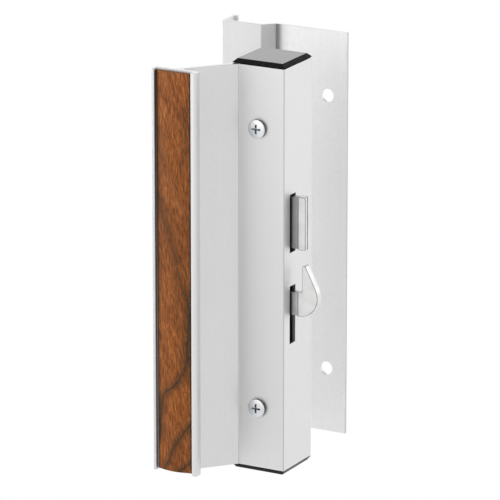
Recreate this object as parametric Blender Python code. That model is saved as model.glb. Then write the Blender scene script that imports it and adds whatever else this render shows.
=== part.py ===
"""Sliding door handle set: an inside handle with its hook latch, and an outside pull.

Metres, +Z up. The origin lies on the door face of the handle's square tube, at mid height.
+X points to the edge of the door where the hook comes out, +Y points into the door.
"""

import math

import bmesh
import bpy

# Clearance between pieces that rest on each other.
GAP = 0.0003

# Square tube of the inside handle.
TUBE_WIDTH = 0.0254
TUBE_DEPTH = 0.0254
TUBE_LENGTH = 0.1800
TUBE_WALL = 0.0016
TUBE_EDGE = 0.0004
SCREW_SPACING = 0.1254

# Swept web and grip flange, in one extrusion with the tube.
WEB_THICK = 0.0025
WEB_ANGLE = math.radians(49.5)
FLANGE_STAND_OFF = 0.0199
FLANGE_WIDTH = 0.0216
FLANGE_OFFSET = 0.0043
FLANGE_THICK = 0.0020
FLANGE_EDGE = 0.0010
LEFT_RIM = 0.0016
RIGHT_RIM = 0.0024
RIM_HEIGHT = 0.0025
FILLET = 0.0008

# Crowned wood strip in the flange's channel.
INSERT_SIDE_GAP = 0.0007
INSERT_END_GAP = 0.0007
INSERT_EDGE = 0.0007
INSERT_CROWN = 0.0018

# Black end caps.
CAP_HEIGHT = 0.0020
CAP_BEVEL = 0.0018
CAP_PLUG_LENGTH = 0.0060
CAP_PLUG_WALL = 0.0015

# Long pan-head screws that hold the set on the door.
HEAD_DIAMETER = 0.0082
HEAD_HEIGHT = 0.0018
HEAD_EDGE = 0.0008
RECESS_SPAN = 0.0046
RECESS_WIDTH = 0.0010
RECESS_DEPTH = 0.0012
SHANK_DIAMETER = 0.0048
SHANK_LENGTH = 0.0445

# Outside pull, a formed plate on the far side of the door.
DOOR_THICKNESS = 0.0381
PULL_THICK = 0.0016
PULL_RIGHT = 0.0096
PULL_PLATE_LEFT = 0.0255
PULL_STEP = 0.0049
PULL_PANEL = 0.0194
PULL_LIP = 0.0112
PULL_LIP_LEAN = 0.0008
PULL_RETURN = 0.0032
PULL_EDGE = 0.0004
PULL_HOLE = 0.0060

# Slots in the side of the tube for lever and hook.
SLOT_WIDTH = 0.0052
SLOT_LENGTH = 0.0260
SLOT_FROM_FRONT = 0.0054
SLOT_CENTRE = 0.0205

# Flat pieces of the latch.
PLATE_THICK = 0.0030
PAD_THICK = 0.0038
PAD_START = 0.0033
BAR_THICK = 0.0015
BAR_WIDTH = 0.0044
BAR_SIDE_GAP = 0.00097
FRAME_SHEET = 0.0012
FRAME_TOP = 0.0370
FRAME_BOTTOM = 0.0400
FRAME_OPEN_EDGE = 0.0005

# Thumb lever: pivot, swing and pad.
LEVER_PIVOT_IN = 0.0047
LEVER_PIVOT_Z = 0.0293
LEVER_SWING = math.radians(11.0)
LEVER_REACH = 0.0071
LEVER_TOP = 0.0329
LEVER_BOTTOM = 0.0093
LEVER_GROOVE = 0.0003

# Hook: pivot, drive arm, and the outline of its head.
HOOK_PIVOT_IN = 0.0065
HOOK_PIVOT_Z = 0.0152
HOOK_ARM = 0.00371
HOOK_HUB = 0.00525
BELLY_RADIUS = 0.00915
BELLY_OUT = 0.00385
BELLY_Z = 0.01145
TIP_RADIUS = 0.0009
TIP_OUT = 0.0065
TIP_Z = 0.0016
NOTCH_Z = 0.0096

# Pins, sleeves, rivets and spring.
PIN_DIAMETER = 0.0026
SLEEVE_DIAMETER = 0.0042
RIVET_DIAMETER = 0.0018
RIVET_HEAD = 0.0026
RIVET_HEAD_THICK = 0.0008
POST_DIAMETER = 0.0018
SPRING_DIAMETER = 0.0040
WIRE_DIAMETER = 0.0005
SPRING_TURNS = 13
POST_Z = 0.0178
ANCHOR_Z = 0.0365
FRAME_SCREW_UP = 0.0080
FRAME_SCREW_DOWN = 0.0280
FRAME_SCREW_DIAMETER = 0.0029
FRAME_SCREW_HEAD = 0.0058

# Places that follow from the sizes above.
FACE = TUBE_WIDTH / 2
FRONT = -TUBE_DEPTH
TOP = TUBE_LENGTH / 2
LATCH_Y = FRONT + SLOT_FROM_FRONT + SLOT_WIDTH / 2
PLATE_FRONT = LATCH_Y - PLATE_THICK / 2
PLATE_BACK = LATCH_Y + PLATE_THICK / 2
BAR_FRONT = PLATE_BACK + GAP + 0.0001
BAR_BACK = BAR_FRONT + BAR_THICK
FRAME_FRONT = FRONT + TUBE_WALL + GAP
FRAME_BACK = -TUBE_WALL - GAP
LEVER_X = FACE - LEVER_PIVOT_IN
LEVER_Z = LEVER_PIVOT_Z
HOOK_X = FACE - HOOK_PIVOT_IN
HOOK_Z = -HOOK_PIVOT_Z
LEVER_RIVET_X = -FACE + TUBE_WALL + GAP + FRAME_SHEET + BAR_SIDE_GAP + BAR_WIDTH / 2
LEVER_ARM = (LEVER_X - LEVER_RIVET_X) / math.cos(LEVER_SWING / 2)
LEVER_RIVET_Z = LEVER_Z - LEVER_ARM * math.sin(LEVER_SWING / 2)
HOOK_SWING = 2 * math.asin(LEVER_ARM * math.sin(LEVER_SWING / 2) / HOOK_ARM)
HOOK_RIVET_X = HOOK_X - HOOK_ARM * math.cos(HOOK_SWING / 2)
HOOK_RIVET_Z = HOOK_Z - HOOK_ARM * math.sin(HOOK_SWING / 2)
SPRING_Y = BAR_BACK + GAP + SPRING_DIAMETER / 2 + 0.0001


def clear_scene():
    for old in list(bpy.data.objects):
        bpy.data.objects.remove(old, do_unlink=True)


def material(name, colour, roughness, metallic):
    made = bpy.data.materials.new(name)
    made.use_nodes = True
    shader = made.node_tree.nodes["Principled BSDF"]
    shader.inputs["Base Color"].default_value = (*colour, 1.0)
    shader.inputs["Roughness"].default_value = roughness
    shader.inputs["Metallic"].default_value = metallic
    made.diffuse_color = (*colour, 1.0)
    return made


def arc(x, y, radius, start, end, steps):
    """Points on a circle's arc, from one angle to the other, both ends included."""
    points = []
    for step in range(steps + 1):
        angle = start + (end - start) * step / steps
        points.append((x + radius * math.cos(angle), y + radius * math.sin(angle)))
    return points


def rounded(corners, steps=4):
    """A closed outline from (x, y, radius) corners, each corner with a radius turned into an arc."""
    points = []
    count = len(corners)
    for index, (x, y, radius) in enumerate(corners):
        if radius <= 0:
            points.append((x, y))
            continue
        before = corners[index - 1]
        after = corners[(index + 1) % count]
        to_before = (before[0] - x, before[1] - y)
        to_after = (after[0] - x, after[1] - y)
        a = math.atan2(to_before[1], to_before[0])
        b = math.atan2(to_after[1], to_after[0])
        turn = (b - a + math.pi) % (2 * math.pi) - math.pi
        half = abs(turn) / 2
        middle = a + turn / 2
        reach = radius / math.sin(half)
        centre_x = x + reach * math.cos(middle)
        centre_y = y + reach * math.sin(middle)
        side = 1 if turn > 0 else -1
        start = a - side * math.pi / 2
        end = b + side * math.pi / 2
        sweep = (end - start + math.pi) % (2 * math.pi) - math.pi
        points += arc(centre_x, centre_y, radius, start, start + sweep, steps)
    return points


def finish_mesh(name, built, mat, origin, parent, smooth):
    """Makes the object, with its origin at the given place and its normals facing out."""
    bmesh.ops.recalc_face_normals(built, faces=built.faces)
    for vertex in built.verts:
        vertex.co.x -= origin[0]
        vertex.co.y -= origin[1]
        vertex.co.z -= origin[2]
    mesh = bpy.data.meshes.new(name)
    built.to_mesh(mesh)
    built.free()
    if smooth:
        mesh.shade_smooth()
        mesh.set_sharp_from_angle(angle=math.radians(32))
    if mat is not None:
        mesh.materials.append(mat)
    made = bpy.data.objects.new(name, mesh)
    bpy.context.scene.collection.objects.link(made)
    made.location = origin
    if parent is not None:
        bpy.context.view_layer.update()
        made.parent = parent
        made.matrix_parent_inverse = parent.matrix_world.inverted()
    return made


def place(across, along, depth, axis):
    """World point of an outline's point: an outline lies in XY for axis Z, in XZ for axis Y."""
    if axis == "Z":
        return (across, along, depth)
    if axis == "Y":
        return (across, depth, along)
    return (depth, across, along)


def prism(name, outline, axis, low, high, mat=None, origin=(0, 0, 0), parent=None, smooth=False):
    """A face on the outline, extruded from low to high along the axis."""
    built = bmesh.new()
    ring = [built.verts.new(place(a, b, low, axis)) for a, b in outline]
    base = built.faces.new(ring)
    grown = bmesh.ops.extrude_face_region(built, geom=[base])
    raised = [item for item in grown["geom"] if isinstance(item, bmesh.types.BMVert)]
    shift = {"X": (high - low, 0, 0), "Y": (0, high - low, 0), "Z": (0, 0, high - low)}[axis]
    bmesh.ops.translate(built, verts=raised, vec=shift)
    return finish_mesh(name, built, mat, origin, parent, smooth)


def turned(name, profile, x, z, steps, mat=None, origin=(0, 0, 0), parent=None, smooth=True):
    """A profile of (radius, y) points spun round the line through x and z that runs along Y."""
    built = bmesh.new()
    points = [built.verts.new((x + radius, y, z)) for radius, y in profile]
    edges = [built.edges.new(pair) for pair in zip(points, points[1:])]
    if profile[0][0] > 0:
        edges.append(built.edges.new((points[-1], points[0])))
    bmesh.ops.spin(
        built,
        geom=points + edges,
        cent=(x, 0, z),
        axis=(0, 1, 0),
        angle=2 * math.pi,
        steps=steps,
        use_merge=True,
    )
    bmesh.ops.remove_doubles(built, verts=built.verts, dist=1e-6)
    return finish_mesh(name, built, mat, origin, parent, smooth)


def rod(name, x, z, radius, low, high, steps=24, mat=None):
    """A plain cylinder along Y."""
    profile = [(0, low), (radius, low), (radius, high), (0, high)]
    return turned(name, profile, x, z, steps, mat)


def block(name, x0, x1, y0, y1, z0, z1):
    """A box between two corners."""
    return prism(name, [(x0, y0), (x1, y0), (x1, y1), (x0, y1)], "Z", z0, z1)


def combine(target, tool, operation="DIFFERENCE"):
    """Adds a live Boolean with a tool object that neither renders nor counts as a piece."""
    tool.hide_render = True
    tool.display_type = "WIRE"
    step = target.modifiers.new(tool.name, "BOOLEAN")
    step.operation = operation
    step.solver = "EXACT"
    step.object = tool


def cross_recess(name, x, z, face_y, into, span, width, depth):
    """Phillips recess: a tapered cross from just outside the head down to its floor."""
    built = bmesh.new()
    rings = []
    for y, size in ((face_y - into * 0.0004, 1.12), (face_y + into * depth, 0.45)):
        half = span / 2 * size
        arm = width / 2 * (0.6 + 0.4 * size)
        corners = [
            (half, -arm),
            (half, arm),
            (arm, arm),
            (arm, half),
            (-arm, half),
            (-arm, arm),
            (-half, arm),
            (-half, -arm),
            (-arm, -arm),
            (-arm, -half),
            (arm, -half),
            (arm, -arm),
        ]
        rings.append([built.verts.new((x + a, y, z + b)) for a, b in corners])
    built.faces.new(rings[0])
    built.faces.new(rings[1])
    for index in range(12):
        after = (index + 1) % 12
        built.faces.new((rings[0][index], rings[0][after], rings[1][after], rings[1][index]))
    return finish_mesh(name, built, None, (0, 0, 0), None, False)


def make_extrusion(mat, root):
    """Tube, web and flange in one outline, then the tube's bore, slots and holes are cut."""
    web_run = FLANGE_STAND_OFF / math.tan(WEB_ANGLE)
    web_wide = WEB_THICK / math.sin(WEB_ANGLE)
    back = FRONT - FLANGE_STAND_OFF
    floor = back - FLANGE_THICK
    front = floor - RIM_HEIGHT
    right = -FACE - FLANGE_OFFSET
    left = right - FLANGE_WIDTH
    outline = rounded(
        [
            (FACE, 0, TUBE_EDGE),
            (-FACE, 0, TUBE_EDGE),
            (-FACE, FRONT, FILLET),
            (-FACE - web_run, back, FILLET),
            (left, back, FLANGE_EDGE),
            (left, front, FLANGE_EDGE),
            (left + LEFT_RIM, front, 0.0003),
            (left + LEFT_RIM, floor, 0),
            (right - RIGHT_RIM, floor, 0),
            (right - RIGHT_RIM, front, 0.0003),
            (right, front, FLANGE_EDGE),
            (right, back, FLANGE_EDGE),
            (-FACE - web_run + web_wide, back, FILLET),
            (-FACE + web_wide, FRONT, FILLET),
            (FACE, FRONT, TUBE_EDGE),
        ]
    )
    made = prism("handle_extrusion", outline, "Z", -TOP, TOP, mat, parent=root)
    inner = FACE - TUBE_WALL
    bore = rounded(
        [
            (inner, -TUBE_WALL, 0.0003),
            (-inner, -TUBE_WALL, 0.0003),
            (-inner, FRONT + TUBE_WALL, 0.0003),
            (inner, FRONT + TUBE_WALL, 0.0003),
        ]
    )
    combine(made, prism("tube_bore", bore, "Z", -TOP - 0.005, TOP + 0.005))
    slot_front = FRONT + SLOT_FROM_FRONT
    for name, middle in (("lever_slot", SLOT_CENTRE), ("hook_slot", -SLOT_CENTRE)):
        low = middle - SLOT_LENGTH / 2
        high = middle + SLOT_LENGTH / 2
        sides = (inner - 0.001, FACE + 0.001, slot_front, slot_front + SLOT_WIDTH)
        combine(made, block(name, *sides, low, high))
    hole = SHANK_DIAMETER / 2 + GAP
    for name, z in (("upper_hole", SCREW_SPACING / 2), ("lower_hole", -SCREW_SPACING / 2)):
        combine(made, rod(name, 0, z, hole, FRONT - 0.001, 0.001))
    shank = FRAME_SCREW_DIAMETER / 2 + GAP
    head = FRAME_SCREW_HEAD / 2 + GAP + 0.0001
    for name, z in (("upper_sink", FRAME_SCREW_UP), ("lower_sink", -FRAME_SCREW_DOWN)):
        deep = head - shank
        sink = [(0, 0.0005), (head + 0.0005, 0.0005), (shank, -deep), (shank, -0.0022), (0, -0.0022)]
        combine(made, turned(name, sink, 0, z, 24))
    return made


def make_insert(mat, root):
    """Flat back, straight edges and a crowned front."""
    right = -FACE - FLANGE_OFFSET - RIGHT_RIM - INSERT_SIDE_GAP
    left = -FACE - FLANGE_OFFSET - FLANGE_WIDTH + LEFT_RIM + INSERT_SIDE_GAP
    back = FRONT - FLANGE_STAND_OFF - FLANGE_THICK - GAP
    edge = back - INSERT_EDGE
    half = (right - left) / 2
    radius = (half * half + INSERT_CROWN * INSERT_CROWN) / (2 * INSERT_CROWN)
    sweep = math.asin(half / radius)
    centre_y = edge - INSERT_CROWN + radius
    middle = (left + right) / 2
    start = -math.pi / 2 - sweep
    crown = arc(middle, centre_y, radius, start, start + 2 * sweep, 14)
    outline = [(right, back), (left, back)] + crown
    end = TOP - INSERT_END_GAP
    return prism("grip_insert", outline, "Z", -end, end, mat, parent=root, smooth=True)


def make_cap(name, side, mat, root):
    """Bevelled lid on the tube's end, with a hollow plug inside the tube."""
    low = side * (TOP + GAP)
    high = side * (TOP + CAP_HEIGHT)
    built = bmesh.new()
    middle = FRONT / 2
    rings = []
    for z, inset in ((low, 0), (high, CAP_BEVEL)):
        x = FACE - inset
        y = TUBE_DEPTH / 2 - inset
        corners = [(x, middle + y), (-x, middle + y), (-x, middle - y), (x, middle - y)]
        rings.append([built.verts.new((a, b, z)) for a, b in corners])
    under = built.faces.new(rings[0])
    built.faces.new(rings[1])
    for index in range(4):
        after = (index + 1) % 4
        built.faces.new((rings[0][index], rings[0][after], rings[1][after], rings[1][index]))
    for inset, travel in (
        (TUBE_WALL + GAP, -side * (CAP_PLUG_LENGTH + GAP)),
        (CAP_PLUG_WALL, side * (CAP_PLUG_LENGTH - 0.001)),
    ):
        built.normal_update()
        bmesh.ops.inset_individual(built, faces=[under], thickness=inset, use_even_offset=True)
        grown = bmesh.ops.extrude_face_region(built, geom=[under])
        raised = [item for item in grown["geom"] if isinstance(item, bmesh.types.BMVert)]
        bmesh.ops.translate(built, verts=raised, vec=(0, 0, travel))
        if under.is_valid:
            bmesh.ops.delete(built, geom=[under], context="FACES_ONLY")
        under = [item for item in grown["geom"] if isinstance(item, bmesh.types.BMFace)][0]
    return finish_mesh(name, built, mat, (0, 0, side * TOP), root, False)


def make_mounting_screw(name, z, mat, root):
    """Pan head with a Phillips recess on a long shank with a chamfered end."""
    seat = FRONT - GAP
    head = HEAD_DIAMETER / 2
    crown = HEAD_HEIGHT - HEAD_EDGE
    radius = (head * head + crown * crown) / (2 * crown)
    sweep = math.asin(head / radius)
    centre_y = seat - HEAD_HEIGHT + radius
    profile = [(0, seat - HEAD_HEIGHT)]
    for step in range(1, 6):
        angle = sweep * step / 5
        profile.append((radius * math.sin(angle), centre_y - radius * math.cos(angle)))
    shank = SHANK_DIAMETER / 2
    end = seat + SHANK_LENGTH
    profile += [(head, seat), (shank, seat), (shank, end - 0.0008), (shank - 0.0008, end), (0, end)]
    made = turned(name, profile, 0, z, 28, mat, (0, seat, z), root)
    top = seat - HEAD_HEIGHT
    recess = cross_recess(name + "_recess", 0, z, top, 1, RECESS_SPAN, RECESS_WIDTH, RECESS_DEPTH)
    combine(made, recess)
    return made


def offset_path(path, thickness):
    """Outline of a bent sheet: the path, and the same path one thickness to its right."""
    inner = []
    for index, (x, y) in enumerate(path):
        normals = []
        for a, b in ((index - 1, index), (index, index + 1)):
            if a < 0 or b >= len(path):
                continue
            dx = path[b][0] - path[a][0]
            dy = path[b][1] - path[a][1]
            length = math.hypot(dx, dy)
            normals.append((dy / length, -dx / length))
        nx = sum(normal[0] for normal in normals) / len(normals)
        ny = sum(normal[1] for normal in normals) / len(normals)
        scale = thickness / (nx * nx + ny * ny)
        inner.append((x + nx * scale, y + ny * scale))
    return list(path) + inner[::-1]


def make_pull(mat, root):
    """Main plate, step, recessed panel, lip and return, with two holes for the long screws."""
    plate = DOOR_THICKNESS
    panel = plate - PULL_STEP
    left = -PULL_PLATE_LEFT - PULL_STEP - PULL_PANEL
    lip = left - PULL_LIP_LEAN
    path = [
        (PULL_RIGHT, plate),
        (-PULL_PLATE_LEFT, plate),
        (-PULL_PLATE_LEFT - PULL_STEP, panel),
        (left, panel),
        (lip, panel + PULL_LIP),
        (lip + PULL_RETURN, panel + PULL_LIP),
    ]
    corners = [(x, y, PULL_EDGE) for x, y in offset_path(path, PULL_THICK)]
    half = TOP + CAP_HEIGHT
    made = prism("outside_pull", rounded(corners, 3), "Z", -half, half, mat, (0, plate, 0), root)
    for name, z in (("upper_pull_hole", SCREW_SPACING / 2), ("lower_pull_hole", -SCREW_SPACING / 2)):
        low = plate - 0.001
        combine(made, rod(name, 0, z, PULL_HOLE / 2, low, plate + PULL_THICK + 0.001, 32))
    return made


def make_frame(mat, root):
    """Steel channel, open toward the slots, with holes for pins, screws and the spring's stud."""
    right = FACE - TUBE_WALL - FRAME_OPEN_EDGE
    left = -FACE + TUBE_WALL + GAP
    outline = rounded(
        [
            (right, FRAME_BACK, 0),
            (left, FRAME_BACK, 0.0014),
            (left, FRAME_FRONT, 0.0014),
            (right, FRAME_FRONT, 0),
            (right, FRAME_FRONT + FRAME_SHEET, 0),
            (left + FRAME_SHEET, FRAME_FRONT + FRAME_SHEET, 0.0002),
            (left + FRAME_SHEET, FRAME_BACK - FRAME_SHEET, 0.0002),
            (right, FRAME_BACK - FRAME_SHEET, 0),
        ]
    )
    made = prism("latch_frame", outline, "Z", -FRAME_BOTTOM, FRAME_TOP, mat, parent=root)
    pin = PIN_DIAMETER / 2 + GAP
    low = FRAME_FRONT - 0.0005
    high = FRAME_BACK + 0.0005
    combine(made, rod("lever_pin_holes", LEVER_X, LEVER_Z, pin, low, high))
    combine(made, rod("hook_pin_holes", HOOK_X, HOOK_Z, pin, low, high))
    rear = FRAME_BACK - FRAME_SHEET - 0.0005
    post = POST_DIAMETER / 2 + GAP
    combine(made, rod("anchor_hole", LEVER_RIVET_X, -ANCHOR_Z, post, rear, high, 16))
    screw = FRAME_SCREW_DIAMETER / 2 + GAP
    for name, z in (("upper_tapped", FRAME_SCREW_UP), ("lower_tapped", -FRAME_SCREW_DOWN)):
        combine(made, rod(name, 0, z, screw, rear, high))
    return made


def chamfer_start(pad, left, half):
    """Bevels the two long edges at the inner end of a pad, where it thickens from the plate."""
    built = bmesh.new()
    built.from_mesh(pad.data)
    edges = []
    for edge in built.edges:
        a, b = edge.verts
        at_left = abs(a.co.x - left) < 1e-6 and abs(b.co.x - left) < 1e-6
        if at_left and abs(a.co.y - b.co.y) < 1e-6:
            edges.append(edge)
    bmesh.ops.bevel(
        built, geom=edges, offset=half, offset_type="OFFSET", segments=1, affect="EDGES"
    )
    bmesh.ops.recalc_face_normals(built, faces=built.faces)
    built.to_mesh(pad.data)
    built.free()


def make_lever(mat, root):
    """Bell crank: the plate through the slot, its drive arm, and the thicker thumb pad."""
    origin = (LEVER_X, LATCH_Y, LEVER_Z)
    boss = RIVET_DIAMETER / 2 + GAP + 0.0011
    arm_left = LEVER_RIVET_X - boss
    out = FACE + PAD_START + 0.0015
    top = LEVER_TOP - 0.0003
    inner = FACE - 0.0029
    outline = rounded(
        [
            (arm_left, LEVER_RIVET_Z + boss, boss - 0.0001),
            (arm_left, LEVER_RIVET_Z - boss, boss - 0.0001),
            (LEVER_X - 0.0030, LEVER_RIVET_Z - boss, 0.0020),
            (inner, LEVER_BOTTOM + 0.0003, 0.0008),
            (out, LEVER_BOTTOM + 0.0003, 0),
            (out, top, 0),
            (LEVER_X - 0.0025, top, 0.0020),
            (LEVER_X - 0.0050, LEVER_RIVET_Z + boss, 0.0020),
        ]
    )
    made = prism("thumb_lever", outline, "Y", PLATE_FRONT, PLATE_BACK, mat, origin, root)
    start = FACE + PAD_START
    end = FACE + LEVER_REACH
    pad_outline = rounded(
        [
            (start, LEVER_BOTTOM, 0),
            (end, LEVER_BOTTOM, 0.0006),
            (end, LEVER_TOP, 0.0006),
            (start, LEVER_TOP, 0),
        ]
    )
    half = PAD_THICK / 2
    pad = prism("lever_pad", pad_outline, "Y", LATCH_Y - half, LATCH_Y + half)
    chamfer_start(pad, start, (PAD_THICK - PLATE_THICK) / 2)
    combine(made, pad, "UNION")
    groove = LEVER_GROOVE / 2
    sides = (end - 0.0004, end + 0.001, LATCH_Y - groove, LATCH_Y + groove)
    combine(made, block("lever_groove", *sides, LEVER_BOTTOM - 0.001, LEVER_TOP + 0.001))
    low = PLATE_FRONT - 0.001
    high = PLATE_BACK + 0.001
    combine(made, rod("lever_pivot", LEVER_X, LEVER_Z, PIN_DIAMETER / 2 + GAP, low, high))
    rivet = RIVET_DIAMETER / 2 + GAP
    combine(made, rod("lever_rivet_hole", LEVER_RIVET_X, LEVER_RIVET_Z, rivet, low, high, 20))
    return made


def make_hook(mat, root):
    """Hub and root plate through the slot, and the thicker head with belly, tip and notch."""
    origin = (HOOK_X, LATCH_Y, HOOK_Z)
    out = FACE + PAD_START + 0.0020
    hub = HOOK_HUB
    outline = rounded(
        [
            (HOOK_X - hub, HOOK_Z + hub, hub - 0.0001),
            (HOOK_X - hub, HOOK_Z - hub, hub - 0.0001),
            (out, HOOK_Z - hub, 0),
            (out, HOOK_Z + hub, 0),
        ],
        8,
    )
    made = prism("latch_hook", outline, "Y", PLATE_FRONT, PLATE_BACK, mat, origin, root)
    belly = (FACE + BELLY_OUT, -BELLY_Z)
    tip = (FACE + TIP_OUT, TIP_Z)
    dx = tip[0] - belly[0]
    dz = tip[1] - belly[1]
    between = math.hypot(dx, dz)
    tangent = math.atan2(dz, dx) - math.acos((BELLY_RADIUS - TIP_RADIUS) / between)
    start = FACE + PAD_START
    first = -math.acos((start - belly[0]) / BELLY_RADIUS)
    head = arc(*belly, BELLY_RADIUS, first, tangent, 20)
    head += arc(*tip, TIP_RADIUS, tangent, math.pi, 8)
    inner = tip[0] - TIP_RADIUS
    head += arc(inner - 0.0006, -NOTCH_Z + 0.0006, 0.0006, 0, -math.pi / 2, 4)
    head.append((start, -NOTCH_Z))
    half = PAD_THICK / 2
    pad = prism("hook_head", head, "Y", LATCH_Y - half, LATCH_Y + half)
    chamfer_start(pad, start, (PAD_THICK - PLATE_THICK) / 2)
    combine(made, pad, "UNION")
    low = PLATE_FRONT - 0.001
    high = PLATE_BACK + 0.001
    combine(made, rod("hook_pivot", HOOK_X, HOOK_Z, PIN_DIAMETER / 2 + GAP, low, high))
    rivet = RIVET_DIAMETER / 2 + GAP
    combine(made, rod("hook_rivet_hole", HOOK_RIVET_X, HOOK_RIVET_Z, rivet, low, high, 20))
    return made


def make_bar(mat, root):
    """Flat bar with a hole for the lever's rivet, a fork for the hook's, and the spring's post."""
    half = BAR_WIDTH / 2
    left = LEVER_RIVET_X - half
    right = LEVER_RIVET_X + half
    top = LEVER_RIVET_Z + half
    foot = HOOK_RIVET_Z - 0.0033
    slot = RIVET_DIAMETER / 2 + 0.00015
    fork_end = HOOK_X - SLEEVE_DIAMETER / 2 - 0.0008
    fork_root = HOOK_X - HOOK_ARM - RIVET_DIAMETER / 2 - GAP
    outline = rounded(
        [
            (left, top, half - 0.0001),
            (left, foot, 0.0008),
            (fork_end, foot, 0.0003),
            (fork_end, HOOK_RIVET_Z - slot, 0),
            (fork_root, HOOK_RIVET_Z - slot, 0.0003),
            (fork_root, HOOK_RIVET_Z + slot, 0.0003),
            (fork_end, HOOK_RIVET_Z + slot, 0),
            (fork_end, HOOK_RIVET_Z + 0.0033, 0.0003),
            (right, HOOK_RIVET_Z + 0.0033, 0.0010),
            (right, top, half - 0.0001),
        ]
    )
    origin = (LEVER_RIVET_X, BAR_FRONT, LEVER_RIVET_Z)
    made = prism("link_bar", outline, "Y", BAR_FRONT, BAR_BACK, mat, origin, root)
    rivet = RIVET_DIAMETER / 2 + GAP
    low = BAR_FRONT - 0.001
    combine(
        made, rod("bar_hole", LEVER_RIVET_X, LEVER_RIVET_Z, rivet, low, BAR_BACK + 0.001, 20)
    )
    post = POST_DIAMETER / 2
    collar = SPRING_Y + WIRE_DIAMETER / 2 + GAP
    profile = [
        (0, BAR_BACK - 0.0006),
        (post, BAR_BACK - 0.0006),
        (post, collar),
        (post + 0.0004, collar),
        (post + 0.0004, collar + 0.0006),
        (0, collar + 0.0006),
    ]
    combine(made, turned("bar_post", profile, LEVER_RIVET_X, -POST_Z, 16), "UNION")
    return made


def make_pin(name, x, z, mat, root):
    """Plain pivot pin, held lengthways by the tube's walls."""
    radius = PIN_DIAMETER / 2
    edge = 0.0003
    profile = [
        (0, FRAME_FRONT),
        (radius - edge, FRAME_FRONT),
        (radius, FRAME_FRONT + edge),
        (radius, FRAME_BACK - edge),
        (radius - edge, FRAME_BACK),
        (0, FRAME_BACK),
    ]
    return turned(name, profile, x, z, 24, mat, (x, LATCH_Y, z), root)


def make_sleeve(name, x, z, low, high, mat, root):
    """Spacer sleeve round a pivot pin."""
    bore = PIN_DIAMETER / 2 + GAP
    outer = SLEEVE_DIAMETER / 2
    profile = [(bore, low), (outer, low), (outer, high), (bore, high)]
    return turned(name, profile, x, z, 24, mat, (x, (low + high) / 2, z), root)


def make_rivet(name, x, z, mat, parent):
    """Rivet through the plate and the bar, with a flat head at each end."""
    radius = RIVET_DIAMETER / 2
    head = RIVET_HEAD / 2
    front = PLATE_FRONT - GAP
    back = BAR_BACK + GAP
    profile = [
        (0, front - RIVET_HEAD_THICK),
        (head, front - RIVET_HEAD_THICK),
        (head, front),
        (radius, front),
        (radius, back),
        (head, back),
        (head, back + RIVET_HEAD_THICK),
        (0, back + RIVET_HEAD_THICK),
    ]
    return turned(name, profile, x, z, 20, mat, (x, LATCH_Y, z), parent)


def make_anchor(mat, root):
    """Stud in the frame's rear sheet, with a shoulder on the sheet and a collar for the loop."""
    radius = POST_DIAMETER / 2
    inner = FRAME_BACK - FRAME_SHEET - GAP
    collar = SPRING_Y - WIRE_DIAMETER / 2 - GAP
    profile = [
        (0, collar - 0.0006),
        (radius + 0.0004, collar - 0.0006),
        (radius + 0.0004, collar),
        (radius, collar),
        (radius, inner - 0.0010),
        (radius + 0.0008, inner - 0.0010),
        (radius + 0.0008, inner),
        (radius, inner),
        (radius, FRAME_BACK),
        (0, FRAME_BACK),
    ]
    x = LEVER_RIVET_X
    return turned("spring_anchor_pin", profile, x, -ANCHOR_Z, 20, mat, (x, SPRING_Y, -ANCHOR_Z), root)


def make_spring(mat, root):
    """Extension spring: a loop round the bar's post, the coil, and a loop round the stud."""
    x = LEVER_RIVET_X
    ring = POST_DIAMETER / 2 + GAP + WIRE_DIAMETER / 2
    coil = SPRING_DIAMETER / 2 - WIRE_DIAMETER / 2
    top = -POST_Z - ring
    bottom = -ANCHOR_Z + ring
    lead = 0.0013
    path = []
    for step in range(15):
        angle = math.radians(-50 + 320 * step / 14)
        path.append((x + ring * math.cos(angle), SPRING_Y, -POST_Z + ring * math.sin(angle)))
    for step in range(1, 5):
        share = step / 5
        spread = coil * share
        angle = math.pi * share
        path.append((x + spread * math.cos(angle), SPRING_Y + spread * math.sin(angle), top - lead * share))
    high = top - lead
    low = bottom + lead
    steps = SPRING_TURNS * 12
    for step in range(steps + 1):
        angle = math.pi + 2 * math.pi * step / 12
        z = high + (low - high) * step / steps
        path.append((x + coil * math.cos(angle), SPRING_Y + coil * math.sin(angle), z))
    turn = math.pi + 2 * math.pi * SPRING_TURNS
    for step in range(1, 5):
        share = step / 5
        spread = coil * (1 - share)
        angle = turn + math.pi * share
        path.append((x + spread * math.cos(angle), SPRING_Y + spread * math.sin(angle), low - lead * share))
    for step in range(15):
        angle = math.radians(90 + 320 * step / 14)
        path.append((x + ring * math.cos(angle), SPRING_Y, -ANCHOR_Z + ring * math.sin(angle)))
    curve = bpy.data.curves.new("return_spring", "CURVE")
    curve.dimensions = "3D"
    curve.bevel_depth = WIRE_DIAMETER / 2
    curve.bevel_resolution = 1
    curve.use_fill_caps = True
    spline = curve.splines.new("POLY")
    spline.points.add(len(path) - 1)
    for point, (px, py, pz) in zip(spline.points, path):
        point.co = (px - x, py - SPRING_Y, pz + ANCHOR_Z, 1)
    curve.materials.append(mat)
    made = bpy.data.objects.new("return_spring", curve)
    bpy.context.scene.collection.objects.link(made)
    made.location = (x, SPRING_Y, -ANCHOR_Z)
    made.parent = root
    return made


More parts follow.
